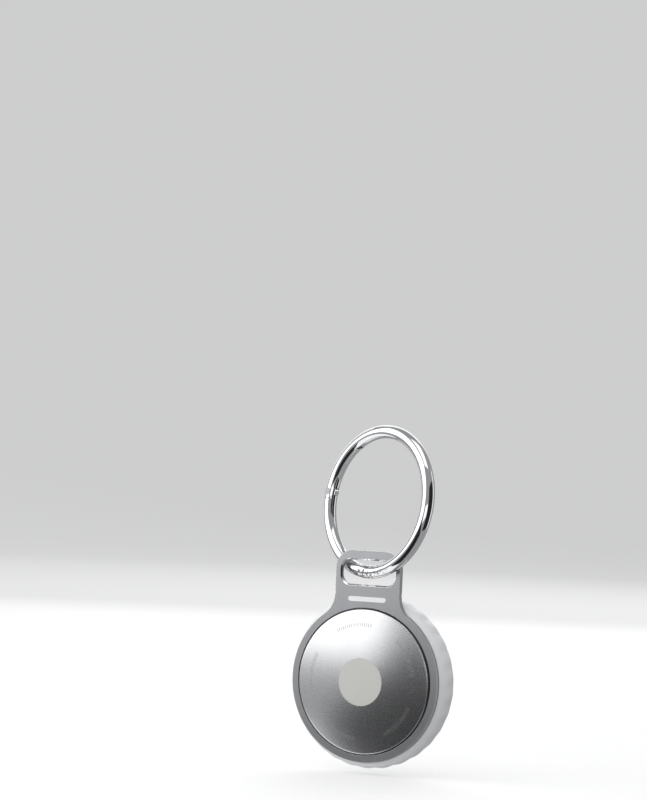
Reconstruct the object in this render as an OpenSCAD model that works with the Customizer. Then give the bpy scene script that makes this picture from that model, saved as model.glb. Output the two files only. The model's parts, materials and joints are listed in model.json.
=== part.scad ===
// Bluetooth tracker tag on a spring-gate carry ring.
// The origin is the centre of the ring, +Z is up and the tag's domed front faces -Y.

/* [Carry ring] */
// Radius of the ring's wire centreline
ring_r = 16.1; // [13:0.1:20]
// Diameter of the ring's wire
wire_d = 3.0; // [2.5:0.1:3.6]
// Turn of the ring about the vertical, seen from above
ring_yaw = 20.5; // [17:0.5:26]
// Backward lean of the ring's top
ring_lean = 7.0; // [4:0.5:12]
// Place of the gate's hinge pin round the ring, from the right side, anticlockwise
hinge_at = 174; // [170:1:185]
// Place of the gate's latch round the ring
latch_at = 128; // [118:1:135]
// Diameter of the gate's hinge pin
pin_d = 1.0; // [0.8:0.1:1.2]
// Diameter of the spring bore in the gate
spring_bore_d = 1.5; // [1.3:0.1:1.6]

/* [Bezel plate] */
// Outer diameter of the plate's round part
plate_d = 36.4; // [33:0.2:46]
// Width of the plate's round rim, outside the opening that the cover shows through
rim_w = 1.5; // [1.4:0.1:2.4]
// Thickness of the plate
plate_t = 1.4; // [1.1:0.1:1.8]
// Width of metal at each side of the ring slot
tab_side = 1.4; // [1.1:0.1:2.2]
// Height of the tab above the plate's round rim
tab_rise = 11.4; // [10:0.1:16]
// Outer corner radius of the tab
tab_corner_r = 4.0; // [2:0.1:5]
// Fillet radius where the tab flares into the round plate
neck_r = 6.0; // [3:0.1:7]
// Room that the ring's wire has at each side of the slot, measured across the plate
slot_play = 0.2; // [0.15:0.05:0.6]
// Height of the ring slot
slot_h = 5.5; // [5:0.1:6]
// Corner radius of the ring slot
slot_corner_r = 2.2; // [1.5:0.1:2.4]
// Width of metal above the ring slot
slot_bar = 2.2; // [1.8:0.1:3.5]

/* [Rear shell] */
// How far the shell's rim stands out past the plate
shell_overhang = 1.8; // [1.2:0.1:3]
// Depth of the rear face behind the front of the plate
shell_depth = 8.8; // [8.7:0.1:11]
// Wall of the shell
shell_wall = 1.1; // [0.8:0.1:1.3]
// Number of scallops round the rim
scallops = 30; // [18:1:40]
// Depth of each scallop
scallop_cut = 0.35; // [0.1:0.05:0.6]

/* [Battery cover] */
// Height of the dome over its rim
dome_h = 1.5; // [1.2:0.1:2.4]
// Thickness of the cover's steel
cover_t = 0.5; // [0.3:0.05:0.6]
// How far the cover's rim stands in front of the plate
cover_proud = 0.35; // [0.2:0.05:0.6]
// Turn that releases the cover
cover_turn = 30; // [25:1:40]
// Angle that each bayonet lug covers
lug_angle = 20; // [12:1:24]

/* [Coin cell] */
// Diameter of the coin cell
cell_d = 20.0; // [16:0.1:24]
// Height of the coin cell
cell_h = 3.2; // [2.5:0.1:3.9]

/* [Hidden] */

fine = 96;
small = 32;
eps = 0.01;
big = 60;

// Ring and gate
wire_r = wire_d / 2;
pin_r = pin_d / 2;
pin_fit = 0.05;
pin_head_r = 0.85;
pin_head_t = 0.25;
pin_head_sunk = 0.1;
knuckle_gap = 0.12;
cheek_gap = 0.1;
tang_t = 1.1;
tang_cam_r = 1.3;
tang_cam_shift = 0.35;
clevis_r = wire_r + 0.35;
cheek_r = wire_r + 0.06;
shoulder_r = cheek_r + knuckle_gap;
tang_half_w = 1.2;
latch_tongue_t = 1.0;
latch_tongue_l = 0.9;
latch_gap = 0.1;
latch_lap = 4;
latch_view = 40;
tongue_root = 0.5;
latch_step = 0.35;
latch_tongue_in = 0.9;
bore_lean = 8;
bore_end = 6.2;
plunger_fit = 0.08;
plunger_tip = 1.42;
plunger_head_l = 1.1;
plunger_stem_r = 0.25;
plunger_stem_l = 1.3;
spring_wire_d = 0.2;
spring_turns = 6;
spring_gap = 0.02;
latch_reach = 2 * ring_r * sin((hinge_at - latch_at) / 2);

// Sizes that follow from the driving ones
opening_d = plate_d - 2 * rim_w;
shell_d = plate_d + 2 * shell_overhang;
tab_top = plate_d / 2 + tab_rise;
slot_w = 2 * (wire_r / cos(ring_yaw) + plate_t / 2 + slot_play) / tan(ring_yaw);
tab_w = slot_w + 2 * tab_side;

// The ring's lowest point, where the slot hangs
hang = [-ring_r * sin(ring_lean) * sin(ring_yaw),
    -ring_r * sin(ring_lean) * cos(ring_yaw),
    -ring_r * cos(ring_lean)];

// Place of the tag: the slot's top stays a set height over the ring's lowest centre
slot_headroom = 1.1;
slot_over_wire = wire_r + slot_headroom;
slot_side_shift = 0.1;
plate_back_shift = 0.15;
slot_top = tab_top - slot_bar;
tag_at = [hang[0] + slot_side_shift,
    hang[1] + plate_back_shift - plate_t / 2,
    hang[2] + slot_over_wire - slot_top];
slot_chamfer = 0.35;

// Depths behind the front of the plate
cell_front = -0.3;
cell_back = cell_front + cell_h;
floor_front = cell_back + 0.4;
floor_t = 0.6;
floor_back = floor_front + floor_t;
board_front = floor_back + 0.2;
board_t = 0.6;
board_back = board_front + board_t;
shell_inside = shell_depth - shell_wall;

// Cover and its bayonet
cover_gap = 0.35;
cover_r = opening_d / 2 - cover_gap;
rim_t = 0.5;
rim_back = rim_t - cover_proud;
dome_r = (cover_r * cover_r + dome_h * dome_h) / (2 * dome_h);
skirt_r = cover_r - 0.65;
skirt_t = 0.4;
skirt_back = 2.6;
lug_t = 0.5;
lug_front = skirt_back - lug_t;
lug_r = skirt_r + 0.6;
lug_count = 3;
insulator_r = 8;
insulator_gap = 0.03;
collar_bore_r = skirt_r + 0.15;
collar_front = 0.75;
ledge_back = lug_front - 0.15;
channel_back = skirt_back + 0.15;
channel_r = lug_r + 0.2;
notch_margin = 2;

// Tray
collar_r = opening_d / 2 - 0.05;
collar_base_r = opening_d / 2 + 0.5;
flange_r = plate_d / 2 - 0.2;
flange_back = plate_t + 1.0;
cell_wall_in = cell_d / 2 + 0.3;
cell_wall_out = cell_wall_in + 0.8;
cell_wall_front = 1.0;
screw_count = 4;
screw_ring_r = (opening_d + plate_d) / 4;
screw_r = 0.5;
screw_head_r = 0.75;
screw_head_t = 0.5;
screw_bite = 0.9;
peg_r = 0.6;
peg_fit = 0.05;
peg_count = 3;
peg_proud = 0.4;
seal_r = 0.28;
seal_ring_r = cover_r - 0.1;

// Contacts
contact_t = 0.2;
positive_w = 2.4;
positive_angles = [70, 200, 320];
contact_play = 0.15;
positive_gap = 0.05;
positive_foot = 1.1;
positive_front = cell_wall_front + 0.2;
negative_leg_x = 4.5;
negative_w = 1.6;
negative_pad_r = 1.5;
negative_gap = 0.05;

// Circuit board and what stands on it
board_r = opening_d / 2 - 1.0;
peg_ring_r = board_r - 1.2;
board_hole_r = 6.5;
chip_size = [5.5, 5.5, 0.9];
shield_size = [7.6, 6.6, 1.35];
shield_wall = 0.15;
crystal_size = [3.2, 1.5, 0.8];
crystal_at = [-9.5, -6.0];
sensor_size = [2.0, 2.0, 0.9];
sensor_at = [10.2, -4.5];
cap_size = [1.0, 0.5, 0.5];
cap_angles = [20, 32, 44, 100, 112, 124, 156, 168];
cap_ring_r = 9.0;
antenna_r = opening_d / 2;
antenna_t = 0.2;
antenna_front = 4.9;
antenna_back = 6.5;
antenna_gap_angle = 110;

// Speaker
yoke_r = 6.0;
yoke_wall = 0.8;
yoke_front = board_front + 0.1;
yoke_floor_t = 0.55;
yoke_back = yoke_front + 2.3;
magnet_r = 3.6;
magnet_back = yoke_back - 0.1;
coil_in_r = 4.05;
coil_out_r = 4.8;
coil_front = yoke_front + 1.2;
diaphragm_t = 0.15;
diaphragm_front = shell_inside - 0.45;
diaphragm_r = 6.2;

// The radio chip stands midway between the speaker and the antenna
chip_out = (yoke_r + sqrt(pow(antenna_r - antenna_t, 2) - pow(shield_size[0] / 2, 2))) / 2;
chip_at = [0, -chip_out];

// ---- Placing and turning ----

module in_ring_frame() {
    rotate([-ring_lean, 0, -ring_yaw]) children();
}

// A frame at a place round the ring: X points outwards, Y across the wire, Z along it
module at_ring(a) {
    rotate([0, -a, 0]) translate([ring_r, 0, 0]) children();
}

module in_tag_frame() {
    translate(tag_at) children();
}

// A flat shape given as seen from the front, filled between two depths
module layer(front, back) {
    translate([0, back, 0]) rotate([90, 0, 0]) linear_extrude(back - front) children();
}

// A shape turned about the tag's axis, drawn as radius and depth
module turned(sides = fine) {
    rotate([90, 0, 0]) mirror([0, 0, 1]) rotate_extrude($fn = sides) children();
}

module tube_2d(outer, inner) {
    difference() {
        circle(r = outer, $fn = fine);
        circle(r = inner, $fn = fine);
    }
}

// A pie slice centred on an angle, measured from the right side, anticlockwise
module slice_2d(at, width) {
    steps = 6;
    points = [for (i = [0 : steps]) let (a = at - width / 2 + width * i / steps) big * [cos(a), sin(a)]];
    polygon(concat([[0, 0]], points));
}

module band_2d(outer, inner, at, width) {
    intersection() {
        tube_2d(outer, inner);
        slice_2d(at, width);
    }
}

module round_rect_2d(w, h, r) {
    square([w - 2 * r, h], center = true);
    square([w, h - 2 * r], center = true);
    for (x = [-1, 1], z = [-1, 1]) translate([x * (w / 2 - r), z * (h / 2 - r)]) circle(r = r, $fn = small);
}

// ---- Ring ----

// The wire between two places round the ring, drawn in the ring's own frame
module wire(from, to) {
    rotate([90, 0, 0]) rotate([0, 0, from])
        rotate_extrude(angle = to - from, $fn = fine) translate([ring_r, 0]) circle(r = wire_r, $fn = small);
}

// A drum across the wire, centred on the hinge pin
module hinge_drum(r, width) {
    at_ring(hinge_at) rotate([90, 0, 0]) cylinder(r = r, h = width, center = true, $fn = fine);
}

module hinge_tube(outer, inner, width) {
    difference() {
        hinge_drum(outer, width);
        hinge_drum(inner, width + 1);
    }
}

// A slab across the ring's plane, out to a radius from the ring's centre
module ring_slab(r, width) {
    rotate([90, 0, 0]) cylinder(r = r, h = width, center = true, $fn = fine);
}

module ring_body() {
    color("gainsboro") in_ring_frame() {
        difference() {
            wire(hinge_at, latch_at + latch_lap + 360);
            hinge_drum(shoulder_r, wire_d + 1);
            latch_cut();
        }
        hinge_tang();
    }
}

// What the ring gives way to at the latch: the arc that the gate's tip sweeps, and its tongue's slot
module latch_cut() {
    slot_reach = latch_reach + latch_tongue_l + 2 * latch_gap;
    intersection() {
        rotate([90, 0, 0]) linear_extrude(2 * wire_d, center = true) slice_2d(latch_at, latch_view);
        union() {
            hinge_drum(latch_reach + latch_gap, wire_d + 1);
            intersection() {
                hinge_drum(slot_reach, latch_tongue_t + 2 * latch_gap);
                ring_slab(ring_r + latch_step + latch_gap, wire_d);
            }
        }
    }
}

// The flat tang between the gate's cheeks, with an eccentric nose that pushes the plunger
module hinge_tang() {
    difference() {
        union() {
            rotate([90, 0, 0]) linear_extrude(tang_t, center = true)
                band_2d(ring_r + tang_half_w, ring_r - tang_half_w, hinge_at + 5, 10);
            at_ring(hinge_at) translate([-tang_cam_shift, 0, 0]) rotate([90, 0, 0])
                cylinder(r = tang_cam_r, h = tang_t, center = true, $fn = fine);
        }
        hinge_drum(pin_r + pin_fit, wire_d);
    }
}

module ring_gate() {
    color("silver") in_ring_frame() difference() {
        union() {
            intersection() {
                wire(latch_at - 2, hinge_at + 8);
                hinge_drum(latch_reach, wire_d + 1);
                union() {
                    hinge_drum(cheek_r, wire_d + 1);
                    rotate([90, 0, 0]) linear_extrude(2 * wire_d, center = true)
                        slice_2d((latch_at - 10 + hinge_at) / 2, hinge_at - latch_at + 10);
                }
            }
            latch_tongue();
        }
        hinge_drum(clevis_r, tang_t + 2 * cheek_gap);
        hinge_drum(pin_r, wire_d + 1);
        for (side = [-1, 1]) at_ring(hinge_at) translate([0, side * (wire_r - pin_head_t / 2), 0])
            rotate([90, 0, 0]) cylinder(r = pin_head_r, h = pin_head_t + eps, center = true, $fn = fine);
        in_gate_bore() cylinder(r = spring_bore_d / 2, h = bore_end, $fn = fine);
    }
}

// The flat tongue on the gate's tip
module latch_tongue() {
    intersection() {
        rotate([90, 0, 0]) linear_extrude(latch_tongue_t, center = true)
            band_2d(ring_r + latch_step, ring_r - latch_tongue_in, latch_at, 16);
        hinge_drum(latch_reach + latch_tongue_l, wire_d);
        difference() {
            hinge_drum(big, wire_d);
            hinge_drum(latch_reach - tongue_root, wire_d + 1);
        }
    }
}

// The spring bore's own frame: the origin is the hinge pin, Z runs up the gate
module in_gate_bore() {
    at_ring(hinge_at) rotate([0, bore_lean + 180, 0]) mirror([1, 0, 0]) children();
}

module gate_pin() {
    head_at = wire_r - pin_head_t;
    head_t = pin_head_t - pin_head_sunk;
    color("darkgray") in_ring_frame() {
        hinge_drum(pin_r, 2 * head_at + eps);
        for (side = [-1, 1]) at_ring(hinge_at) translate([0, side * (head_at + head_t / 2), 0])
            rotate([90, 0, 0]) cylinder(r = pin_head_r, h = head_t, center = true, $fn = fine);
    }
}

module gate_plunger() {
    color("goldenrod") in_ring_frame() in_gate_bore() translate([0, 0, plunger_tip]) {
        cylinder(r = spring_bore_d / 2 - plunger_fit, h = plunger_head_l, $fn = fine);
        cylinder(r = plunger_stem_r, h = plunger_head_l + plunger_stem_l, $fn = small);
    }
}

// A round bar swept along a helix, with flat ends
function coil_ring(a, rise, r, bar) =
    [for (k = [0 : 7]) let (b = k * 45, d = r + bar * cos(b)) [d * cos(a), d * sin(a), rise + bar * sin(b)]];

module coil(r, bar, height, turns) {
    steps = turns * 16;
    points = [for (i = [0 : steps]) each coil_ring(i * 360 / 16, height * i / steps, r, bar)];
    sides = [for (i = [0 : steps - 1], k = [0 : 7])
        [i * 8 + k, i * 8 + (k + 1) % 8, (i + 1) * 8 + (k + 1) % 8, (i + 1) * 8 + k]];
    first = [for (k = [7 : -1 : 0]) k];
    last = [for (k = [0 : 7]) steps * 8 + k];
    polyhedron(points, concat([first], sides, [last]));
}

module gate_spring() {
    start = plunger_tip + plunger_head_l + spring_wire_d / 2 + spring_gap;
    length = bore_end - start - spring_wire_d / 2 - spring_gap;
    color("dimgray") in_ring_frame() in_gate_bore() translate([0, 0, start])
        coil(spring_bore_d / 2 - spring_wire_d / 2 - plunger_fit, spring_wire_d / 2, length, spring_turns);
}

// ---- Bezel plate ----

// The neck's fillet circles touch the tab's side and the round plate
neck_x = tab_w / 2 + neck_r - eps / 2;
neck_z = sqrt(pow(plate_d / 2 + neck_r - eps / 2, 2) - neck_x * neck_x);

module plate_outline_2d() {
    tab_h = tab_top - opening_d / 2;
    circle(d = plate_d, $fn = fine);
    translate([0, tab_top - tab_h / 2]) round_rect_2d(tab_w, tab_h, tab_corner_r);
    difference() {
        polygon([[0, 0], [neck_x, neck_z], [-neck_x, neck_z]]);
        for (x = [-1, 1]) translate([x * neck_x, neck_z]) circle(r = neck_r, $fn = small);
    }
}

// Bevel of one face of the slot: wide at the face, narrow inside
module slot_bevel(face, inward) {
    wide = slot_corner_r + slot_chamfer + eps;
    translate([0, face - inward * eps, slot_top - slot_h / 2]) rotate([-90 * inward, 0, 0]) hull()
        for (x = [-1, 1], z = [-1, 1])
            translate([x * (slot_w / 2 - slot_corner_r), z * (slot_h / 2 - slot_corner_r), 0])
                cylinder(r1 = wide, r2 = slot_corner_r - eps, h = slot_chamfer + 2 * eps, $fn = small);
}

module bezel_plate() {
    color("darkgray") in_tag_frame() difference() {
        layer(0, plate_t) difference() {
            plate_outline_2d();
            circle(d = opening_d, $fn = fine);
            translate([0, slot_top - slot_h / 2]) round_rect_2d(slot_w, slot_h, slot_corner_r);
        }
        slot_bevel(0, 1);
        slot_bevel(plate_t, -1);
        each_screw() layer(plate_t - screw_bite, plate_t + eps) circle(r = screw_r, $fn = small);
    }
}

module each_screw() {
    for (i = [0 : screw_count - 1]) rotate([0, -45 - i * 360 / screw_count, 0])
        translate([screw_ring_r, 0, 0]) children();
}

module plate_screws() {
    color("silver") in_tag_frame() each_screw() {
        layer(plate_t - screw_bite, flange_back) circle(r = screw_r, $fn = small);
        layer(flange_back, flange_back + screw_head_t) circle(r = screw_head_r, $fn = small);
    }
}

// ---- Rear shell ----

rim_at = shell_depth / 2;
shoulder_w = 2.4;
shoulder_angle = 70;
back_round = 4.2;
back_wall_extra = 0.5;
shell_back_r = shell_d / 2 - back_round;

// Half section of the shell: a shoulder from the plate to the rim, then a round back
function shell_shoulder() = [for (a = [shoulder_angle : -10 : 0])
    [shell_d / 2 - shoulder_w + shoulder_w * cos(a),
     rim_at - (rim_at - plate_t) * sin(a) / sin(shoulder_angle)]];
function shell_round(inset) = [for (a = [0 : 10 : 90])
    [shell_back_r + (shell_d / 2 - inset - shell_back_r) * cos(a),
     rim_at + (shell_depth - inset - rim_at) * sin(a)]];

module rear_shell() {
    scallop_pitch = 360 / scallops;
    half_chord = shell_d / 2 * sin(scallop_pitch / 2);
    scallop_r = (half_chord * half_chord + scallop_cut * scallop_cut) / (2 * scallop_cut);
    inside_r = plate_d / 2 + 0.05;
    color("white") in_tag_frame() difference() {
        turned() polygon(concat([[0, plate_t]], shell_shoulder(), shell_round(0), [[0, shell_depth]]));
        turned() polygon(concat([[0, plate_t - 1], [inside_r, plate_t - 1], [inside_r, rim_at]],
            shell_round(shell_wall + back_wall_extra), [[0, shell_inside]]));
        turned() square([shell_back_r, shell_inside]);
        for (i = [0 : scallops - 1]) rotate([0, i * scallop_pitch, 0])
            translate([shell_d / 2 - scallop_cut + scallop_r, 0, 0])
                layer(0, shell_depth + 1) circle(r = scallop_r, $fn = fine);
    }
}

// ---- Battery tray ----

module battery_tray() {
    notch_w = lug_angle + 2 * notch_margin;
    run = cover_turn + lug_angle + 2 * notch_margin;
    color("whitesmoke") in_tag_frame() difference() {
        union() {
            turned() polygon([[collar_bore_r, collar_front], [collar_r, collar_front], [collar_r, plate_t],
                [flange_r, plate_t], [flange_r, flange_back], [collar_base_r, flange_back],
                [collar_base_r, floor_back], [0, floor_back], [0, floor_front],
                [collar_bore_r, floor_front]]);
            layer(cell_wall_front, floor_front + eps) tube_2d(cell_wall_out, cell_wall_in);
            each_peg() layer(floor_back - eps, board_back + peg_proud) circle(r = peg_r, $fn = small);
        }
        for (i = [0 : lug_count - 1]) rotate([0, i * 360 / lug_count, 0]) {
            layer(ledge_back, channel_back)
                band_2d(channel_r, collar_bore_r - eps, run / 2 - lug_angle / 2 - notch_margin, run);
            layer(collar_front - eps, ledge_back + eps)
                band_2d(channel_r, collar_bore_r - eps, cover_turn, notch_w);
        }
        each_screw() {
            layer(plate_t - 1, flange_back + 1) circle(r = screw_r, $fn = small);
            layer(flange_back - eps, floor_back + 1) circle(r = screw_head_r + 0.1, $fn = small);
        }
        for (a = positive_angles) rotate([0, -a, 0])
            translate([cell_d / 2, cell_wall_front - 1, -positive_w / 2 - contact_play])
                cube([positive_foot + contact_play, floor_back - cell_wall_front + 2,
                    positive_w + 2 * contact_play]);
        translate([negative_leg_x, floor_front, 0])
            cube([contact_t + 2 * contact_play, 2, negative_w + 2 * contact_play], center = true);
    }
}

module each_peg() {
    for (i = [0 : peg_count - 1]) rotate([0, 15 + i * 360 / peg_count, 0])
        translate([peg_ring_r, 0, 0]) children();
}

module cover_seal() {
    color("dimgray") in_tag_frame() turned()
        translate([seal_ring_r, (rim_back + collar_front) / 2]) circle(r = seal_r, $fn = small);
}

// ---- Battery cover ----

// Depth of the dome's outside at a radius
function dome_depth(r) = -cover_proud - dome_h + dome_r - sqrt(dome_r * dome_r - r * r);

module battery_cover() {
    outside = [for (i = [0 : 16]) let (r = cover_r * i / 16) [r, dome_depth(r)]];
    inside = [for (i = [16 : -1 : 0]) let (r = (skirt_r - skirt_t) * i / 16) [r, dome_depth(r) + cover_t]];
    color("silver") in_tag_frame() {
        turned() polygon(concat(outside, [[cover_r, rim_back], [skirt_r, rim_back],
            [skirt_r, skirt_back], [skirt_r - skirt_t, skirt_back]], inside));
        for (i = [0 : lug_count - 1]) rotate([0, i * 360 / lug_count, 0])
            layer(lug_front, skirt_back) band_2d(lug_r, skirt_r - skirt_t / 2, 0, lug_angle);
    }
}

module cover_insulator() {
    front = dome_depth(insulator_r) + cover_t + insulator_gap;
    color("black") in_tag_frame() layer(front, cell_front - insulator_gap)
        circle(r = insulator_r, $fn = fine);
}

// ---- Coin cell ----

can_t = 0.3;
gasket_t = 0.3;
cap_proud = 0.2;
cap_r = cell_d / 2 - can_t - gasket_t;
can_rim_back = cell_back - cap_proud;

module coin_cell_can() {
    color("silver") in_tag_frame() {
        layer(cell_front, cell_front + can_t) circle(d = cell_d, $fn = fine);
        layer(cell_front + can_t, can_rim_back) tube_2d(cell_d / 2, cell_d / 2 - can_t);
    }
}

module coin_cell_gasket() {
    color("dimgray") in_tag_frame() layer(cell_front + can_t, can_rim_back)
        tube_2d(cell_d / 2 - can_t, cap_r);
}

module coin_cell_cap() {
    color("gainsboro") in_tag_frame() layer(cell_front + can_t, cell_back) circle(r = cap_r, $fn = fine);
}

module positive_contacts() {
    color("gold") in_tag_frame() for (a = positive_angles) rotate([0, -a, 0]) {
        translate([cell_d / 2 + positive_gap, positive_front, -positive_w / 2])
            cube([contact_t, board_front - positive_front, positive_w]);
        translate([cell_d / 2 + positive_gap, board_front - contact_t, -positive_w / 2])
            cube([positive_foot, contact_t, positive_w]);
    }
}

module negative_contact() {
    front = cell_back + negative_gap;
    color("gold") in_tag_frame() {
        layer(front, front + contact_t) circle(r = negative_pad_r, $fn = small);
        translate([0, front, -negative_w / 2]) cube([negative_leg_x, contact_t, negative_w]);
        translate([negative_leg_x - contact_t / 2, front, -negative_w / 2])
            cube([contact_t, floor_back + contact_t - front, negative_w]);
        translate([negative_leg_x, floor_back, -negative_w / 2])
            cube([board_hole_r + 1 - negative_leg_x, contact_t, negative_w]);
    }
}

// ---- Circuit board ----

module on_board(at) {
    translate([at[0], board_back, at[1]]) children();
}

module block(size) {
    translate([-size[0] / 2, 0, -size[1] / 2]) cube([size[0], size[2], size[1]]);
}

module circuit_board() {
    color("darkgreen") in_tag_frame() difference() {
        layer(board_front, board_back) tube_2d(board_r, board_hole_r);
        each_peg() layer(board_front - 1, board_back + 1) circle(r = peg_r + peg_fit, $fn = small);
    }
}

module radio_chip() {
    color("black") in_tag_frame() on_board(chip_at) block(chip_size);
}

module radio_shield() {
    inner = [shield_size[0] - 2 * shield_wall, shield_size[1] - 2 * shield_wall, shield_size[2] - shield_wall];
    color("silver") in_tag_frame() on_board(chip_at) difference() {
        block(shield_size);
        translate([0, -eps, 0]) block(inner);
    }
}

module crystal() {
    color("gainsboro") in_tag_frame() on_board(crystal_at) block(crystal_size);
}

module motion_sensor() {
    color("black") in_tag_frame() on_board(sensor_at) block(sensor_size);
}

module board_capacitors() {
    color("tan") in_tag_frame() for (a = cap_angles) rotate([0, -a, 0])
        on_board([cap_ring_r, 0]) block(cap_size);
}

module antenna_flex() {
    color("darkorange") in_tag_frame() layer(antenna_front, antenna_back) difference() {
        tube_2d(antenna_r, antenna_r - antenna_t);
        slice_2d(90, antenna_gap_angle);
    }
}

// ---- Speaker ----

module speaker_yoke() {
    color("gray") in_tag_frame() {
        layer(yoke_front, yoke_front + yoke_floor_t) circle(r = yoke_r, $fn = fine);
        layer(yoke_front + yoke_floor_t, yoke_back) tube_2d(yoke_r, yoke_r - yoke_wall);
    }
}

module speaker_magnet() {
    color("dimgray") in_tag_frame() layer(yoke_front + yoke_floor_t, magnet_back)
        circle(r = magnet_r, $fn = fine);
}

module voice_coil() {
    color("peru") in_tag_frame() layer(coil_front, diaphragm_front) tube_2d(coil_out_r, coil_in_r);
}

module speaker_diaphragm() {
    color("khaki") in_tag_frame() layer(diaphragm_front, diaphragm_front + diaphragm_t)
        circle(r = diaphragm_r, $fn = fine);
}

ring_body();
gate_pin();
ring_gate();
gate_spring();
gate_plunger();
bezel_plate();
rear_shell();
battery_tray();
cover_seal();
plate_screws();
battery_cover();
cover_insulator();
coin_cell_can();
coin_cell_gasket();
coin_cell_cap();
positive_contacts();
negative_contact();
circuit_board();
radio_chip();
radio_shield();
crystal();
motion_sensor();
board_capacitors();
antenna_flex();
speaker_yoke();
speaker_magnet();
voice_coil();
speaker_diaphragm();
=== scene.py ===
import json
import math
import bpy
from mathutils import Matrix, Vector

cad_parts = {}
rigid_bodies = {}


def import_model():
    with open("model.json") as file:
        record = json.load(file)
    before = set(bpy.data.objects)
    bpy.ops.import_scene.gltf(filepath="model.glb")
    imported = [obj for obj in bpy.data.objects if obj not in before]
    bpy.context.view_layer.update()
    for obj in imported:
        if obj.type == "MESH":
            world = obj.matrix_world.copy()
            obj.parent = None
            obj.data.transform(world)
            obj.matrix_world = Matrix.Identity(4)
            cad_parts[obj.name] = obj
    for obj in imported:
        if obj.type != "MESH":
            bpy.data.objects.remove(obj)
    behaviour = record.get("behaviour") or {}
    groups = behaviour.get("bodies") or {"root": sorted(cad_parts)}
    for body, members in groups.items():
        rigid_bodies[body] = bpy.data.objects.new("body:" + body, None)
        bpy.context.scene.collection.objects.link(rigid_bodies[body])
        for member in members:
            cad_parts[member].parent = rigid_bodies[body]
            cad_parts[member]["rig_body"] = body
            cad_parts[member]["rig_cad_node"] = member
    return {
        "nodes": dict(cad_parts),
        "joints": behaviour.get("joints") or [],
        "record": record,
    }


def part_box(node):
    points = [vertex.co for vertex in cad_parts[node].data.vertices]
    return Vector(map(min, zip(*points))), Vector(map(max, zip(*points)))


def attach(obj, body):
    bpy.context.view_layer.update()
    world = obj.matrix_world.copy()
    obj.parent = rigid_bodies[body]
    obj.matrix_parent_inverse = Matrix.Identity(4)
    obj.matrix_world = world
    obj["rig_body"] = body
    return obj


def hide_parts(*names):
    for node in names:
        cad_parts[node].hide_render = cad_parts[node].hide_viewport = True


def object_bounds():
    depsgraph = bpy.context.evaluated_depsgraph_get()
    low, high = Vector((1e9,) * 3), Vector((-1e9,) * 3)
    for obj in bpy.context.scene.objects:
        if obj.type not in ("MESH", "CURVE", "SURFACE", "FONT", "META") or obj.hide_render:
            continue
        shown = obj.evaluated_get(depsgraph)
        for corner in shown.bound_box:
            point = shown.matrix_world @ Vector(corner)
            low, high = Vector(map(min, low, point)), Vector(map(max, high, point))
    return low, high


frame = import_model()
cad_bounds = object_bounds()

# ---------------------------------------------------------------------------------------------
# Camera. It stands to the right of the tag's front, a little above the ring's middle, and looks
# almost level, so the tag hangs low in the picture as when it is held up by its ring.
# ---------------------------------------------------------------------------------------------
MM = 0.001
rear_face = [m for m in frame["record"]["mounts"] if m["name"] == "rear_face"][0]
plate_low, plate_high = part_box("bezel_plate")
tag_centre = Vector((rear_face["pos_m"][0], plate_low.y, rear_face["pos_m"][2]))

camera_side = math.radians(27.7)
camera_rise = math.radians(-1.5)
camera_roll = math.radians(2.5)
camera_lens = 119.4
camera_off_tag = Vector((-9.0, 63.7, 600)) * MM

towards_camera = Vector((
    math.sin(camera_side) * math.cos(camera_rise),
    -math.cos(camera_side) * math.cos(camera_rise),
    math.sin(camera_rise)))
level_right = Vector((math.cos(camera_side), math.sin(camera_side), 0))
level_up = towards_camera.cross(level_right)
view_right = math.cos(camera_roll) * level_right + math.sin(camera_roll) * level_up
view_up = -math.sin(camera_roll) * level_right + math.cos(camera_roll) * level_up
view_axes = Matrix((view_right, view_up, towards_camera)).transposed()

bpy.ops.object.camera_add()
camera = bpy.context.object
camera.name = "studio_camera"
camera.matrix_world = (Matrix.Translation(tag_centre + view_axes @ camera_off_tag)
                       @ view_axes.to_4x4())
camera.data.lens = camera_lens
camera.data.sensor_width = 36
camera.data.clip_start = 0.01
bpy.context.scene.camera = camera
bpy.context.scene.view_settings.view_transform = "Standard"


# ---------------------------------------------------------------------------------------------
# Studio. A round paper floor that sweeps up into a wall all round. A softbox stands at the upper
# left, and fill lamps that polished metal doesn't mirror light the white parts. Black cards
# give the steel its dark side.
# ---------------------------------------------------------------------------------------------
same_point = 0.001 * MM
ring_middle = Vector((0, 0, 0))
floor_z = cad_bounds[0][2] - 1 * MM
floor_r = 1.3
sweep_r = 0.6
sweep_steps = 10
wall_top = 1.6
floor_glow = 0.38
air_glow = 0.36


def deselect_all():
    for thing in bpy.context.selected_objects:
        thing.select_set(False)


def activate(thing):
    deselect_all()
    thing.select_set(True)
    bpy.context.view_layer.objects.active = thing


def draw_outline(name, points):
    """A chain of edges through the points, drawn by extruding one vertex after another."""
    deselect_all()
    bpy.ops.mesh.primitive_plane_add(size=MM, location=(0, 0, 0))
    piece = bpy.context.object
    piece.name = name
    piece.data.name = name
    bpy.ops.object.mode_set(mode="EDIT")
    bpy.ops.mesh.select_all(action="SELECT")
    bpy.ops.mesh.merge(type="CENTER")
    bpy.ops.transform.translate(value=points[0])
    for before, after in zip(points, points[1:]):
        bpy.ops.mesh.extrude_vertices_move(TRANSFORM_OT_translate={"value": after - before})
    bpy.ops.object.mode_set(mode="OBJECT")
    return piece


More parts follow.
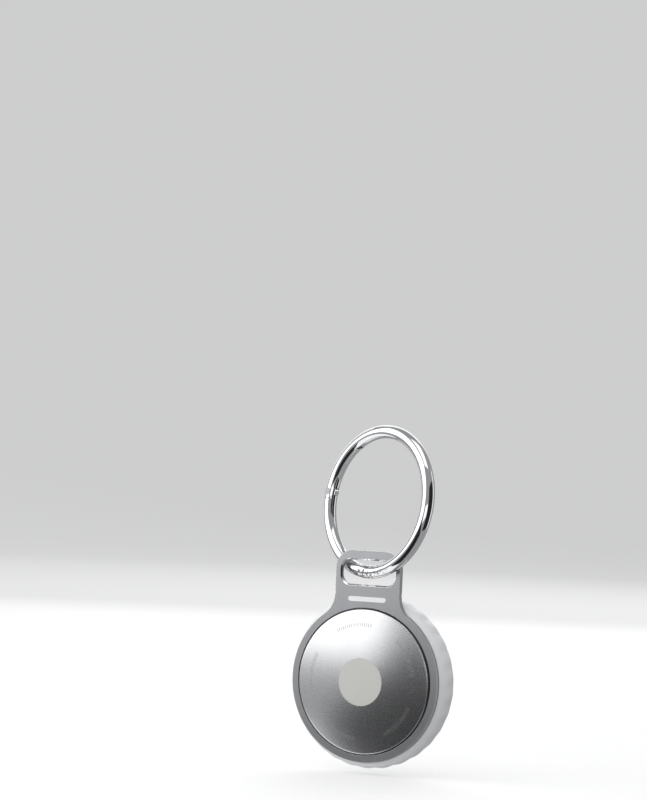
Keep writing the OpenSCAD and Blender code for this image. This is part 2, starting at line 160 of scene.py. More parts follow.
def turn(piece, centre, axis, steps):
    """Spins an outline once round an axis and closes its seam and its poles."""
    activate(piece)
    bpy.ops.object.mode_set(mode="EDIT")
    bpy.ops.mesh.select_all(action="SELECT")
    bpy.ops.mesh.spin(steps=steps, angle=math.tau, center=centre, axis=axis)
    bpy.ops.mesh.select_all(action="SELECT")
    bpy.ops.mesh.remove_doubles(threshold=same_point)
    bpy.ops.mesh.normals_make_consistent(inside=False)
    bpy.ops.object.mode_set(mode="OBJECT")


def shade_smooth(piece, angle):
    activate(piece)
    bpy.ops.object.shade_smooth_by_angle(angle=math.radians(angle))


def plain_material(name, colour, roughness):
    made = bpy.data.materials.new(name)
    made.use_nodes = True
    shader = made.node_tree.nodes["Principled BSDF"]
    shader.inputs["Base Color"].default_value = (*colour, 1)
    shader.inputs["Roughness"].default_value = roughness
    return made


def studio_direction(side, rise):
    """A direction from a turn to the right of the front and a rise, both in degrees."""
    a, e = math.radians(side), math.radians(rise)
    return Vector((math.sin(a) * math.cos(e), -math.cos(a) * math.cos(e), math.sin(e)))


def add_softbox(name, aim, side, rise, distance, width, height, radiance, mirrored=True):
    """A soft lamp aimed at a point from a side angle and a rise, both in degrees."""
    away = studio_direction(side, rise)
    bpy.ops.object.light_add(type="AREA", location=aim + away * distance)
    lamp = bpy.context.object
    lamp.name = name
    lamp.rotation_euler = away.to_track_quat("Z", "Y").to_euler()
    lamp.data.shape = "RECTANGLE"
    lamp.data.size = width
    lamp.data.size_y = height
    lamp.data.energy = radiance * math.pi * width * height
    lamp.visible_camera = False
    lamp.visible_glossy = mirrored


def add_black_card(name, aim, side, rise, distance, width, height, tilt=0):
    """A black card that only reflections see, tilted in its own plane by an angle."""
    away = studio_direction(side, rise)
    deselect_all()
    bpy.ops.mesh.primitive_plane_add(size=1, location=aim + away * distance)
    card = bpy.context.object
    card.name = name
    card.scale = (width, height, 1)
    tilted = Matrix.Rotation(math.radians(tilt), 3, "Z")
    card.rotation_euler = (away.to_track_quat("Z", "Y").to_matrix() @ tilted).to_euler()
    card.data.materials.append(plain_material(name, (0.015, 0.015, 0.016), 1.0))
    card.visible_camera = False
    card.visible_diffuse = False
    card.visible_shadow = False


sweep = [Vector((floor_r + sweep_r * math.sin(a), 0, floor_z + sweep_r * (1 - math.cos(a))))
         for a in [math.pi / 2 * i / sweep_steps for i in range(sweep_steps + 1)]]
floor = draw_outline("studio_floor", [Vector((0, 0, floor_z)), *sweep,
                                      Vector((floor_r + sweep_r, 0, wall_top))])
turn(floor, (0, 0, 0), (0, 0, 1), 96)
shade_smooth(floor, 60)
paper = plain_material("studio_paper", (0.6, 0.6, 0.6), 0.9)
paper_shader = paper.node_tree.nodes["Principled BSDF"]
paper_shader.inputs["Emission Color"].default_value = (1, 1, 1, 1)
paper_shader.inputs["Emission Strength"].default_value = floor_glow
floor.data.materials.append(paper)
floor.visible_glossy = False
floor.visible_diffuse = False
floor.visible_shadow = False

world = bpy.data.worlds.new("studio_air")
bpy.context.scene.world = world
world.use_nodes = True
air = world.node_tree.nodes["Background"]
air.inputs["Color"].default_value = (0.97, 0.98, 1.0, 1)
air.inputs["Strength"].default_value = air_glow

add_softbox("softbox_left", tag_centre, -47, 30, 0.36, 0.40, 0.38, 1.5)
add_softbox("softbox_front", ring_middle, 20, 0, 0.45, 0.30, 0.13, 1.0)
add_softbox("softbox_top", tag_centre, 40, 74, 0.45, 0.30, 0.3, 1.1)
add_softbox("strip_left", tag_centre, -114, 10, 0.45, 0.12, 0.5, 1.0)
add_softbox("strip_right", tag_centre, 126, 8, 0.45, 0.10, 0.5, 0.9)
add_softbox("softbox_rear", tag_centre, 205, 30, 0.6, 0.5, 0.5, 0.9)
add_softbox("floor_bounce", tag_centre, -75, -50, 0.3, 0.35, 0.35, 0.8)
add_softbox("fill_front", tag_centre, 20, 30, 1.1, 0.9, 0.9, 1.0, mirrored=False)
add_softbox("fill_back", tag_centre, 190, 40, 1.1, 0.9, 0.9, 1.5, mirrored=False)
add_black_card("card_low", tag_centre, -2, -24, 0.14, 0.16, 0.16, tilt=45)
add_black_card("card_right", ring_middle, 76, 0, 0.34, 0.46, 0.4)


# ---------------------------------------------------------------------------------------------
# Shared surface effects. Satin grain is the fine unevenness of blasted or brushed metal and of
# moulded plastic. Handling marks are the broad smudges and hairline scratches of daily use.
# ---------------------------------------------------------------------------------------------
cad_weld = 0.002 * MM
bump_strength = 0.35


def new_group(name, inputs, outputs):
    group = bpy.data.node_groups.new(name, "ShaderNodeTree")
    for socket, kind, start in inputs:
        made = group.interface.new_socket(socket, in_out="INPUT", socket_type=kind)
        if start is not None:
            made.default_value = start
    for socket, kind in outputs:
        group.interface.new_socket(socket, in_out="OUTPUT", socket_type=kind)
    return group, group.nodes.new("NodeGroupInput"), group.nodes.new("NodeGroupOutput")


def feed(tree, value, socket):
    """Sets a socket to a number, or links another socket to it."""
    if isinstance(value, (int, float, tuple)):
        socket.default_value = value
    else:
        tree.links.new(value, socket)


def add_math(tree, operation, *values):
    node = tree.nodes.new("ShaderNodeMath")
    node.operation = operation
    for value, socket in zip(values, node.inputs):
        feed(tree, value, socket)
    return node.outputs[0]


def add_range(tree, value, low, high, from_low=0.0, from_high=1.0):
    """Maps a value from one range to another, and holds it at the ends."""
    node = tree.nodes.new("ShaderNodeMapRange")
    for socket, end in (("Value", value), ("From Min", from_low), ("From Max", from_high),
                        ("To Min", low), ("To Max", high)):
        feed(tree, end, node.inputs[socket])
    return node.outputs["Result"]


def add_noise(tree, vector, scale, detail):
    noise = tree.nodes.new("ShaderNodeTexNoise")
    noise.inputs["Scale"].default_value = scale
    noise.inputs["Detail"].default_value = detail
    tree.links.new(vector, noise.inputs["Vector"])
    return noise.outputs["Fac"]


def build_satin_grain():
    group, start, end = new_group(
        "satin_grain",
        [("Vector", "NodeSocketVector", None), ("Stretch", "NodeSocketVector", (1, 1, 1)),
         ("Low", "NodeSocketFloat", 0.2), ("High", "NodeSocketFloat", 0.4)],
        [("Roughness", "NodeSocketFloat"), ("Height", "NodeSocketFloat")])
    stretched = group.nodes.new("ShaderNodeVectorMath")
    stretched.operation = "MULTIPLY"
    group.links.new(start.outputs["Vector"], stretched.inputs[0])
    group.links.new(start.outputs["Stretch"], stretched.inputs[1])
    fine = add_noise(group, stretched.outputs[0], 6000, 3)
    rough = add_range(group, fine, start.outputs["Low"], start.outputs["High"])
    group.links.new(rough, end.inputs["Roughness"])
    group.links.new(fine, end.inputs["Height"])
    return group


def build_handling_marks():
    group, start, end = new_group(
        "handling_marks",
        [("Vector", "NodeSocketVector", None)],
        [("Smudge", "NodeSocketFloat"), ("Scratch", "NodeSocketFloat")])
    smudge = add_noise(group, start.outputs["Vector"], 90, 4)
    group.links.new(add_range(group, smudge, 0, 1, 0.3, 0.7), end.inputs["Smudge"])
    turned = group.nodes.new("ShaderNodeMapping")
    turned.inputs["Rotation"].default_value = (0.3, 0.6, 0.4)
    turned.inputs["Scale"].default_value = (1, 1, 40)
    group.links.new(start.outputs["Vector"], turned.inputs["Vector"])
    hairline = add_noise(group, turned.outputs["Vector"], 160, 2)
    group.links.new(add_range(group, hairline, 0, 1, 0.67, 0.71), end.inputs["Scratch"])
    return group


satin_grain = build_satin_grain()
handling_marks = build_handling_marks()


def object_place(tree, centre=(0, 0, 0)):
    """Object coordinates measured from a centre."""
    place = tree.nodes.new("ShaderNodeTexCoord")
    moved = tree.nodes.new("ShaderNodeMapping")
    moved.inputs["Location"].default_value = [-c for c in centre]
    tree.links.new(place.outputs["Object"], moved.inputs["Vector"])
    return moved.outputs["Vector"]


def finish_material(name, colour, metallic, rough_low, rough_high, stretch=(1, 1, 1),
                    grain_depth=0.002, smudge=0.04, colour_shift=0.06):
    """A worn finish: grain drives the roughness and a shallow bump, smudges shift the colour."""
    made = bpy.data.materials.new(name)
    made.use_nodes = True
    tree = made.node_tree
    shader = tree.nodes["Principled BSDF"]
    shader.inputs["Metallic"].default_value = metallic
    place = object_place(tree)
    grain = tree.nodes.new("ShaderNodeGroup")
    grain.node_tree = satin_grain
    grain.inputs["Stretch"].default_value = stretch
    grain.inputs["Low"].default_value = rough_low
    grain.inputs["High"].default_value = rough_high
    tree.links.new(place, grain.inputs["Vector"])
    marks = tree.nodes.new("ShaderNodeGroup")
    marks.node_tree = handling_marks
    tree.links.new(place, marks.inputs["Vector"])

    smudged = add_math(tree, "MULTIPLY_ADD", marks.outputs["Smudge"], smudge,
                       grain.outputs["Roughness"])
    scratched = add_math(tree, "MULTIPLY_ADD", marks.outputs["Scratch"], smudge, smudged)
    tree.links.new(scratched, shader.inputs["Roughness"])

    tint = tree.nodes.new("ShaderNodeMix")
    tint.data_type = "RGBA"
    tint.inputs["A"].default_value = (*colour, 1)
    tint.inputs["B"].default_value = (*[c * (1 - colour_shift) for c in colour], 1)
    tree.links.new(marks.outputs["Smudge"], tint.inputs["Factor"])
    tree.links.new(tint.outputs["Result"], shader.inputs["Base Color"])

    bump = tree.nodes.new("ShaderNodeBump")
    bump.inputs["Strength"].default_value = bump_strength
    bump.inputs["Distance"].default_value = grain_depth * MM
    tree.links.new(grain.outputs["Height"], bump.inputs["Height"])
    tree.links.new(bump.outputs["Normal"], shader.inputs["Normal"])
    return made


def overlay(made, mask, colour, roughness=None):
    """Lays another colour, and another roughness, over a finish where the mask is 1."""
    tree = made.node_tree
    shader = tree.nodes["Principled BSDF"]
    for socket, kind, value in (("Base Color", "RGBA", (*colour, 1)),
                                ("Roughness", "FLOAT", roughness)):
        if value is None:
            continue
        below = shader.inputs[socket].links[0].from_socket
        mixed = tree.nodes.new("ShaderNodeMix")
        mixed.data_type = kind
        tree.links.new(mask, mixed.inputs["Factor"])
        tree.links.new(below, mixed.inputs["A"])
        mixed.inputs["B"].default_value = value
        tree.links.new(mixed.outputs["Result"], shader.inputs[socket])


def add_rings(tree, centre, pitch):
    """Stripes in circles round the tag's axis, one every pitch, from a wave of 20 radians."""
    wave = tree.nodes.new("ShaderNodeTexWave")
    wave.wave_type = "RINGS"
    wave.rings_direction = "Y"
    wave.inputs["Scale"].default_value = math.tau / (20 * pitch)
    tree.links.new(object_place(tree, centre), wave.inputs["Vector"])
    return wave.outputs["Fac"]


def finish_node(node, made):
    """Gives a CAD node its material."""
    frame["nodes"][node].data.materials.clear()
    frame["nodes"][node].data.materials.append(made)


def merged_copy(node, name, flatten=0.5):
    """A copy of a CAD node with its loose triangles joined and its flat faces made whole."""
    activate(frame["nodes"][node])
    bpy.ops.object.duplicate()
    copy = bpy.context.object
    copy.name = name
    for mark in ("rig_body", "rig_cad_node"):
        if mark in copy:
            del copy[mark]
    copy.parent = None
    copy.matrix_world = Matrix.Identity(4)
    bpy.ops.object.mode_set(mode="EDIT")
    bpy.ops.mesh.select_all(action="SELECT")
    bpy.ops.mesh.remove_doubles(threshold=cad_weld)
    if flatten:
        bpy.ops.mesh.dissolve_limited(angle_limit=math.radians(flatten))
    bpy.ops.object.mode_set(mode="OBJECT")
    copy.data.materials.clear()
    return copy


# ---------------------------------------------------------------------------------------------
# Carry ring. A round steel wire bent to a ring and chrome plated, with a short sprung gate of
# the same wire on a steel rivet. The plating is rubbed where the tag's slot hangs on it.
# ---------------------------------------------------------------------------------------------
gate_hinge = [j for j in frame["joints"] if j["name"] == "gate_hinge"][0]
ring_normal = Vector(gate_hinge["axis"]).normalized()
ring_r = Vector(gate_hinge["pos_m"]).length
wire_r = 1.5 * MM
wire_slack = 0.012 * MM
wire_facing = 0.8
rubbed_fully = 3 * MM
rubbed_at_all = 8 * MM
down = Vector((0, 0, -1))
hang_point = (down - ring_normal * down.dot(ring_normal)).normalized() * ring_r


def wire_normal(point):
    """Straight out from the wire's centre line, and how far the point lies from that line."""
    on_plane = point - ring_normal * point.dot(ring_normal)
    out = point - on_plane.normalized() * ring_r
    return out.normalized(), out.length


def polish_wire(piece):
    """Gives the round faces of a wire piece the true normals of a bent round wire."""
    shade_smooth(piece, 25)
    mesh = piece.data
    normals = [corner.vector.copy() for corner in mesh.corner_normals]
    for face in mesh.polygons:
        ends = [wire_normal(mesh.vertices[i].co) for i in face.vertices]
        round_face = all(abs(reach - wire_r) < wire_slack for _, reach in ends)
        if round_face and face.normal.dot(wire_normal(face.center)[0]) > wire_facing:
            for corner, (normal, _) in zip(face.loop_indices, ends):
                normals[corner] = normal
    mesh.normals_split_custom_set(normals)


def chrome_material(name):
    """Bright chrome with dark scuffs close to where the tag hangs."""
    made = finish_material(name, (0.80, 0.80, 0.81), 1.0, 0.035, 0.075,
                           grain_depth=0.0002, smudge=0.03, colour_shift=0.04)
    tree = made.node_tree
    away = tree.nodes.new("ShaderNodeVectorMath")
    away.operation = "LENGTH"
    tree.links.new(object_place(tree, hang_point), away.inputs[0])
    near_slot = add_range(tree, away.outputs["Value"], 1, 0,
                          rubbed_fully, rubbed_at_all)
    scuff = add_range(tree, add_noise(tree, object_place(tree), 1500, 5), 0, 1, 0.53, 0.58)
    overlay(made, add_math(tree, "MULTIPLY", near_slot, scuff), (0.18, 0.18, 0.18), 0.4)
    return made


for node, body, name in (("ring_body", "ring", "ring_polished"),
                         ("ring_gate", "gate", "gate_polished")):
    wire = merged_copy(node, name, flatten=0)
    polish_wire(wire)
    wire.data.materials.append(chrome_material(name + "_chrome"))
    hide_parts(node)
    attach(wire, body)

pin_steel = finish_material("pin_steel", (0.40, 0.40, 0.41), 1.0, 0.25, 0.4)
finish_node("gate_pin", pin_steel)
finish_node("gate_plunger", finish_material("plunger_brass", (0.78, 0.6, 0.28), 1.0, 0.2, 0.35))
finish_node("gate_spring", finish_material("spring_steel", (0.5, 0.5, 0.52), 1.0, 0.2, 0.4))


# ---------------------------------------------------------------------------------------------
# Bezel plate. A stamped plate of satin grey metal. Its edges are cut with a bright bevel after
# the finish is laid, so the bevels shine.
# ---------------------------------------------------------------------------------------------
plate_bevel = 0.25 * MM
plate_flat_facing = 0.995
plate_wall_facing = 0.2


def bevel_edges(piece, width, segments, angle):
    bevel = piece.modifiers.new("edge_bevel", "BEVEL")
    bevel.width = width
    bevel.segments = segments
    bevel.limit_method = "ANGLE"
    bevel.angle_limit = math.radians(angle)
    activate(piece)
    bpy.ops.object.modifier_apply(modifier=bevel.name)


def keep_flats_flat(piece):
    """Lets the large flat faces set the shading at their edges, and not the narrow bevels."""
    weighted = piece.modifiers.new("weighted_normals", "WEIGHTED_NORMAL")
    weighted.weight = 100
    weighted.keep_sharp = True
    activate(piece)
    bpy.ops.object.modifier_apply(modifier=weighted.name)


plate = merged_copy("bezel_plate", "plate_bevelled")
bevel_edges(plate, plate_bevel, 3, 40)
bezel_metal = finish_material("bezel_metal", (0.50, 0.505, 0.52), 1.0, 0.27, 0.36,
                              grain_depth=0.0016, smudge=0.05)
bright_cut = finish_material("bright_cut", (0.86, 0.86, 0.87), 1.0, 0.12, 0.2,
                             grain_depth=0.0005)
plate.data.materials.append(bezel_metal)
plate.data.materials.append(bright_cut)
for face in plate.data.polygons:
    flat = abs(face.normal.y) > plate_flat_facing
    wall = abs(face.normal.y) < plate_wall_facing
    face.material_index = 0 if flat or wall else 1
shade_smooth(plate, 35)
keep_flats_flat(plate)
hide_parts("bezel_plate")
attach(plate, "tag")

# ---------------------------------------------------------------------------------------------
# Tab stripe. A plain white bar with round ends, printed on the tab below the slot.
# ---------------------------------------------------------------------------------------------
stripe_l = 9.5 * MM
stripe_w = 1.1 * MM
stripe_t = 0.02 * MM
stripe_below_tab_top = 11.0 * MM

deselect_all()
bpy.ops.mesh.primitive_plane_add(size=1, location=(
    tag_centre.x, plate_low.y, plate_high.z - stripe_below_tab_top),
    rotation=(math.radians(90), 0, 0))
stripe = bpy.context.object
stripe.name = "tab_stripe"
stripe.scale = (stripe_l, stripe_w, 1)
bpy.ops.object.transform_apply(location=True, rotation=True, scale=True)
bpy.ops.object.mode_set(mode="EDIT")
bpy.ops.mesh.select_all(action="SELECT")
bpy.ops.mesh.bevel(offset=stripe_w * 0.499, segments=10, affect="VERTICES")
bpy.ops.mesh.extrude_region_move(TRANSFORM_OT_translate={"value": (0, -stripe_t, 0)})
bpy.ops.mesh.select_all(action="SELECT")
bpy.ops.mesh.remove_doubles(threshold=same_point)
bpy.ops.mesh.normals_make_consistent(inside=False)
bpy.ops.object.mode_set(mode="OBJECT")
stripe.data.materials.append(finish_material("stripe_ink", (0.92, 0.92, 0.93), 0.0, 0.35, 0.5,
                                             colour_shift=0.03))
shade_smooth(stripe, 30)
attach(stripe, "tag")

# ---------------------------------------------------------------------------------------------
# Battery cover. A disc of stainless steel drawn into a shallow dome with a rolled lip and a
# short skirt, on which three bayonet lugs are welded. Its satin front has a plain matt disc
# printed at the middle and rows of etched ticks near the lip.
# ---------------------------------------------------------------------------------------------
cover_low, cover_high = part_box("battery_cover")
cover_r = (cover_high.x - cover_low.x) / 2
dome_h = 1.5 * MM
cover_t = 0.5 * MM
lip_r = 0.28 * MM
lip_t = 0.5 * MM
skirt_r = cover_r - 0.65 * MM
skirt_t = 0.4 * MM
lug_reach = 0.6 * MM
lug_t = 0.5 * MM
lug_angle = math.radians(20)
lug_count = 3
lug_setback = 0.001 * MM
mark_r = 5.4 * MM
tick_ring_r = 12.9 * MM
tick_h = 0.9 * MM
ticks_round = 150
tick_rows = 5
dome_r = (cover_r ** 2 + dome_h ** 2) / (2 * dome_h)
dome_front = cover_low.y
skirt_back = cover_high.y
dome_steps = 40
lip_steps = 8
lining_steps = 12


def on_tag(radius, depth):
    """A point to the right of the tag's axis, at a depth along Y."""
    return Vector((tag_centre.x + radius, depth, tag_centre.z))


def dome_depth(radius):
    """The depth of the dome's front at a radius."""
    return dome_front + dome_r - math.sqrt(dome_r ** 2 - radius ** 2)


edge_slope = math.asin(cover_r / dome_r)
lip_start = cover_r - lip_r + lip_r * math.sin(edge_slope)
lip_centre = Vector((cover_r - lip_r, dome_depth(lip_start) + lip_r * math.cos(edge_slope)))
lip_back = dome_depth(cover_r) + lip_t
mark_step = round(dome_steps * mark_r / lip_start)
rings = [mark_r * i / mark_step for i in range(mark_step)]
rings += [mark_r + (lip_start - mark_r) * i / (dome_steps - mark_step)
          for i in range(dome_steps - mark_step)]
cover_outline = [on_tag(r, dome_depth(r)) for r in rings]
for i in range(lip_steps + 1):
    around = (math.pi / 2 - edge_slope) * (1 - i / lip_steps)
    cover_outline.append(on_tag(lip_centre.x + lip_r * math.cos(around),
                                lip_centre.y - lip_r * math.sin(around)))
cover_outline += [on_tag(cover_r, lip_back), on_tag(skirt_r, lip_back),
                  on_tag(skirt_r, skirt_back), on_tag(skirt_r - skirt_t, skirt_back)]
cover_outline += [on_tag(r, dome_depth(r) + cover_t)
                  for r in [(skirt_r - skirt_t) * (1 - i / lining_steps)
                            for i in range(lining_steps + 1)]]

cover = draw_outline("cover_domed", cover_outline)
turn(cover, on_tag(0, 0), (0, 1, 0), 180)

lug_outline = [on_tag(skirt_r - skirt_t / 2, skirt_back - lug_t),
               on_tag(skirt_r + lug_reach, skirt_back - lug_t),
               on_tag(skirt_r + lug_reach, skirt_back - lug_setback),
               on_tag(skirt_r - skirt_t / 2, skirt_back - lug_setback)]
for i in range(lug_count):
    lug = draw_outline("cover_lug", lug_outline + lug_outline[:1])
    turn(lug, on_tag(0, 0), (0, 1, 0), 90)
    middle = math.tau * i / lug_count
    bpy.ops.object.mode_set(mode="EDIT")
    for side in (-1, 1):
        cut = -middle + side * lug_angle / 2
        bpy.ops.mesh.select_all(action="SELECT")
        bpy.ops.mesh.bisect(plane_co=on_tag(0, 0), use_fill=True, clear_outer=True,
                            plane_no=(-side * math.sin(cut), 0, side * math.cos(cut)))
    bpy.ops.mesh.select_all(action="SELECT")
    bpy.ops.mesh.normals_make_consistent(inside=False)
    bpy.ops.object.mode_set(mode="OBJECT")
    welded = cover.modifiers.new("weld_lug", "BOOLEAN")
    welded.operation = "UNION"
    welded.solver = "EXACT"
    welded.object = lug
    activate(cover)
    bpy.ops.object.modifier_apply(modifier=welded.name)
    bpy.data.objects.remove(lug)


def build_etched_ticks():
    """Short radial ticks in five rows near a disc's edge, from a place centred on the disc."""
    group, start, end = new_group(
        "etched_ticks",
        [("Vector", "NodeSocketVector", None), ("Radius", "NodeSocketFloat", 0.01),
         ("Length", "NodeSocketFloat", 0.001)],
        [("Mask", "NodeSocketFloat")])
    parts = group.nodes.new("ShaderNodeSeparateXYZ")
    group.links.new(start.outputs["Vector"], parts.inputs[0])
    across, up = parts.outputs["X"], parts.outputs["Z"]
    around = add_math(group, "ARCTAN2", up, across)
    squares = add_math(group, "ADD", add_math(group, "MULTIPLY", across, across),
                       add_math(group, "MULTIPLY", up, up))
    off_row = add_math(group, "ABSOLUTE", add_math(
        group, "SUBTRACT", add_math(group, "SQRT", squares), start.outputs["Radius"]))
    in_row = add_math(group, "LESS_THAN", off_row,
                      add_math(group, "MULTIPLY", start.outputs["Length"], 0.5))
    ticks = add_range(group, add_math(group, "SINE", add_math(
        group, "MULTIPLY", around, ticks_round)), 0, 1, 0.35, 0.75)
    rows = add_range(group, add_math(group, "SINE", add_math(
        group, "MULTIPLY_ADD", around, tick_rows, -1.0)), 0, 1, -0.2, -0.1)
    both = add_math(group, "MULTIPLY", ticks, rows)
    group.links.new(add_math(group, "MULTIPLY", both, in_row), end.inputs["Mask"])
    return group


cover_steel = finish_material("cover_steel", (0.72, 0.725, 0.735), 1.0, 0.23, 0.29,
                              grain_depth=0.0009, smudge=0.02)
ticks = cover_steel.node_tree.nodes.new("ShaderNodeGroup")
ticks.node_tree = build_etched_ticks()
ticks.inputs["Radius"].default_value = tick_ring_r
ticks.inputs["Length"].default_value = tick_h
cover_steel.node_tree.links.new(object_place(cover_steel.node_tree, on_tag(0, 0)),
                                ticks.inputs["Vector"])
overlay(cover_steel, ticks.outputs["Mask"], (0.42, 0.42, 0.43), 0.5)
matt_print = finish_material("matt_print", (0.60, 0.60, 0.57), 0.0, 0.45, 0.6,
                             grain_depth=0.003, colour_shift=0.03)

cover.data.materials.append(cover_steel)
cover.data.materials.append(matt_print)
for face in cover.data.polygons:
    out = face.center - on_tag(0, face.center.y)
    face.material_index = 1 if out.length < mark_r and face.normal.y < -0.5 else 0
shade_smooth(cover, 30)
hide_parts("battery_cover")
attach(cover, "cover")
finish_node("cover_insulator", finish_material(
    "insulator_foam", (0.05, 0.05, 0.052), 0.0, 0.75, 0.95, stretch=(0.4, 0.4, 0.4),
    grain_depth=0.06))

# ---------------------------------------------------------------------------------------------
# Rear shell. Moulded in white plastic as one cup, with shallow scallops round its rim for the
# fingers. It swells out from behind the plate and its back is flat.
# ---------------------------------------------------------------------------------------------
shell_low, shell_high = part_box("rear_shell")
shell_r = (plate_high.x - plate_low.x) / 2 + 1.8 * MM
shell_front = shell_low.y
shell_back = shell_high.y
shell_wall = 1.1 * MM
scallops = 30
scallop_cut = 0.35 * MM
shoulder_w = 2.4 * MM
shoulder_angle = 70
shoulder_steps = 15
back_round = 4.2 * MM
back_steps = 16
inner_back_steps = 8
scallop_soft = 0.25 * MM
back_wall_extra = 0.5 * MM
rim_depth = tag_centre.y + (shell_back - tag_centre.y) / 2
inside_r = (plate_high.x - plate_low.x) / 2 + 0.05 * MM
shell_back_r = shell_r - back_round


def shell_back_curve(inset, steps):
    """The round from the rim to the flat back."""
    for i in range(steps + 1):
        a = math.pi / 2 * i / steps
        yield on_tag(shell_back_r + (shell_r - inset - shell_back_r) * math.cos(a),
                     rim_depth + (shell_back - inset - rim_depth) * math.sin(a))


shell_outline = [on_tag(inside_r, shell_front)]
for i in range(shoulder_steps + 1):
    a = math.radians(shoulder_angle) * (1 - i / shoulder_steps)
    depth = rim_depth - (rim_depth - shell_front) * math.sin(a) / math.sin(
        math.radians(shoulder_angle))
    shell_outline.append(on_tag(shell_r - shoulder_w + shoulder_w * math.cos(a), depth))
shell_outline += list(shell_back_curve(0, back_steps))[1:]
shell_outline += [on_tag(shell_back_r * f, shell_back) for f in (0.66, 0.33, 0)]
inside_back = shell_back - shell_wall
shell_outline += [on_tag(0, inside_back), on_tag(shell_back_r * 0.5, inside_back),
                  on_tag(shell_back_r, inside_back)]
shell_outline += reversed(list(shell_back_curve(shell_wall + back_wall_extra,
                                                inner_back_steps)))
shell_outline += [on_tag(inside_r, rim_depth), on_tag(inside_r, shell_front)]

shell = draw_outline("shell_scalloped", shell_outline)
turn(shell, on_tag(0, 0), (0, 1, 0), scallops * 12)
for vertex in shell.data.vertices:
    out = vertex.co - on_tag(0, vertex.co.y)
    around = math.atan2(out.z, out.x)
    limit = shell_r - scallop_cut * (0.5 + 0.5 * math.cos(scallops * around))
    over = (out.length - limit) / scallop_soft
    if over > -4:
        drop = scallop_soft * math.log1p(math.exp(over))
        vertex.co -= out.normalized() * min(drop, out.length)
shell.data.materials.append(finish_material(
    "shell_plastic", (0.84, 0.845, 0.86), 0.0, 0.30, 0.42, grain_depth=0.003, smudge=0.05,
    colour_shift=0.02))
shade_smooth(shell, 40)
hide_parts("rear_shell")
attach(shell, "tag")

# ---------------------------------------------------------------------------------------------
# Tray, seal and screws. The tray is moulded in white plastic and holds the cell and the board.
# The seal is a silicone cord ring, and the screws are small zinc plated ones.
# ---------------------------------------------------------------------------------------------
finish_node("battery_tray", finish_material(
    "tray_plastic", (0.78, 0.78, 0.79), 0.0, 0.4, 0.55, grain_depth=0.004, colour_shift=0.03))
finish_node("cover_seal", finish_material(
    "seal_rubber", (0.03, 0.03, 0.032), 0.0, 0.55, 0.75, grain_depth=0.004))
screw_steel = finish_material("screw_steel", (0.6, 0.6, 0.62), 1.0, 0.2, 0.35)
overlay(screw_steel, add_rings(screw_steel.node_tree, on_tag(0, 0), 0.08 * MM),
        (0.48, 0.48, 0.5))
finish_node("plate_screws", screw_steel)

# ---------------------------------------------------------------------------------------------
# Coin cell and contacts. The can and cap are pressed from nickel plated steel and show turned
# rings, a nylon gasket parts them, and the contacts are gold plated bronze strip.
# ---------------------------------------------------------------------------------------------
cell_can = finish_material("cell_can", (0.66, 0.66, 0.67), 1.0, 0.22, 0.34)
overlay(cell_can, add_rings(cell_can.node_tree, on_tag(0, 0), 0.25 * MM), (0.6, 0.6, 0.61))
finish_node("coin_cell_can", cell_can)
cell_cap = finish_material("cell_cap", (0.72, 0.72, 0.72), 1.0, 0.18, 0.3)
overlay(cell_cap, add_rings(cell_cap.node_tree, on_tag(0, 0), 0.4 * MM), (0.66, 0.66, 0.66))
finish_node("coin_cell_cap", cell_cap)
finish_node("coin_cell_gasket", finish_material(
    "cell_gasket", (0.16, 0.16, 0.18), 0.0, 0.3, 0.45))
contact_gold = finish_material("contact_gold", (0.83, 0.64, 0.28), 1.0, 0.18, 0.3,
                               stretch=(1, 0.05, 1))
finish_node("positive_contacts", contact_gold)
finish_node("negative_contact", contact_gold)


# ---------------------------------------------------------------------------------------------
# Circuit board. Green solder mask lies over etched copper tracks. The chips are moulded in
# black epoxy, the shield and the crystal have metal lids, and the aerial is a copper meander
# between polyimide films.
# ---------------------------------------------------------------------------------------------
def add_tracks(tree, pitch, width):
    """A net of thin straight lines across the tag's depth, one row every pitch."""
    turned_flat = tree.nodes.new("ShaderNodeMapping")
    turned_flat.inputs["Rotation"].default_value = (math.radians(90), 0, 0)
    tree.links.new(object_place(tree, on_tag(0, 0)), turned_flat.inputs["Vector"])
    tracks = tree.nodes.new("ShaderNodeTexBrick")
    tracks.inputs["Scale"].default_value = 1 / pitch
    tracks.inputs["Brick Width"].default_value = 3.0
    tracks.inputs["Row Height"].default_value = 1.0
    tracks.inputs["Mortar Size"].default_value = width
    tree.links.new(turned_flat.outputs["Vector"], tracks.inputs["Vector"])
    return tracks.outputs["Fac"]


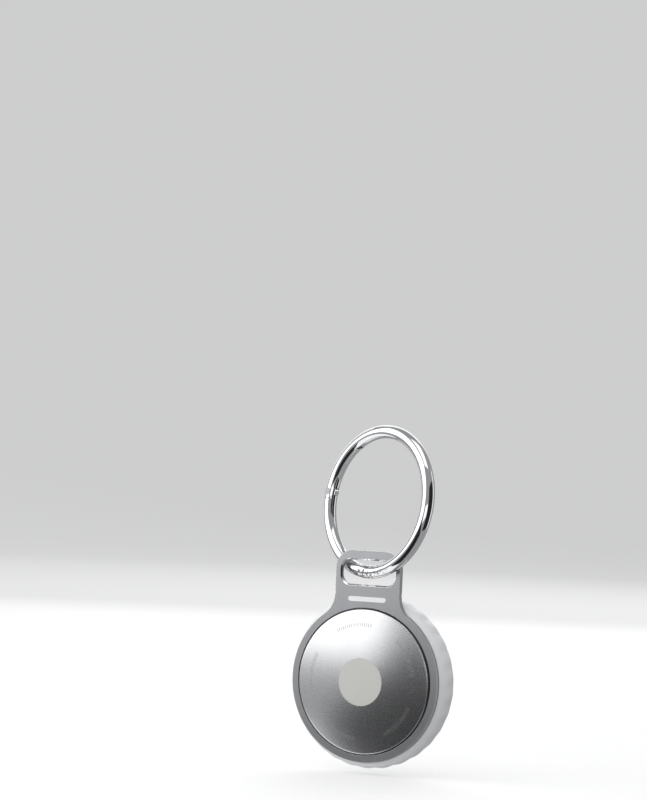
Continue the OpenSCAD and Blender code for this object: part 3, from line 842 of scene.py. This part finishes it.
board_laminate = finish_material("board_laminate", (0.02, 0.13, 0.05), 0.0, 0.25, 0.4)
overlay(board_laminate, add_tracks(board_laminate.node_tree, 1.1 * MM, 0.09),
        (0.05, 0.24, 0.1), 0.3)
finish_node("circuit_board", board_laminate)
chip_epoxy = finish_material("chip_epoxy", (0.03, 0.03, 0.033), 0.0, 0.45, 0.65,
                             grain_depth=0.004)
finish_node("radio_chip", chip_epoxy)
finish_node("motion_sensor", chip_epoxy)
finish_node("radio_shield", finish_material(
    "shield_tin", (0.66, 0.66, 0.65), 1.0, 0.28, 0.42, stretch=(0.1, 1, 1)))
finish_node("crystal", finish_material("crystal_can", (0.72, 0.71, 0.68), 1.0, 0.2, 0.32))
finish_node("board_capacitors", finish_material(
    "capacitor_ceramic", (0.42, 0.29, 0.17), 0.0, 0.4, 0.6))
antenna_film = finish_material("antenna_film", (0.42, 0.2, 0.05), 0.0, 0.25, 0.35)
overlay(antenna_film, add_tracks(antenna_film.node_tree, 0.55 * MM, 0.2), (0.62, 0.32, 0.12))
finish_node("antenna_flex", antenna_film)

# ---------------------------------------------------------------------------------------------
# Speaker. A plated steel cup holds the magnet. The coil is wound in enamelled copper wire and
# glued to a thin formed film, whose rings let it move.
# ---------------------------------------------------------------------------------------------
finish_node("speaker_yoke", finish_material("yoke_steel", (0.45, 0.45, 0.47), 1.0, 0.25, 0.4))
finish_node("speaker_magnet", finish_material(
    "magnet_coat", (0.34, 0.34, 0.36), 1.0, 0.3, 0.45))
coil_copper = finish_material("coil_copper", (0.68, 0.34, 0.14), 1.0, 0.25, 0.4)
overlay(coil_copper, add_rings(coil_copper.node_tree, on_tag(0, 0), 0.09 * MM),
        (0.4, 0.17, 0.06))
finish_node("voice_coil", coil_copper)
diaphragm_film = finish_material("diaphragm_film", (0.6, 0.5, 0.28), 0.0, 0.2, 0.35)
overlay(diaphragm_film, add_rings(diaphragm_film.node_tree, on_tag(0, 0), 0.6 * MM),
        (0.5, 0.4, 0.2))
finish_node("speaker_diaphragm", diaphragm_film)
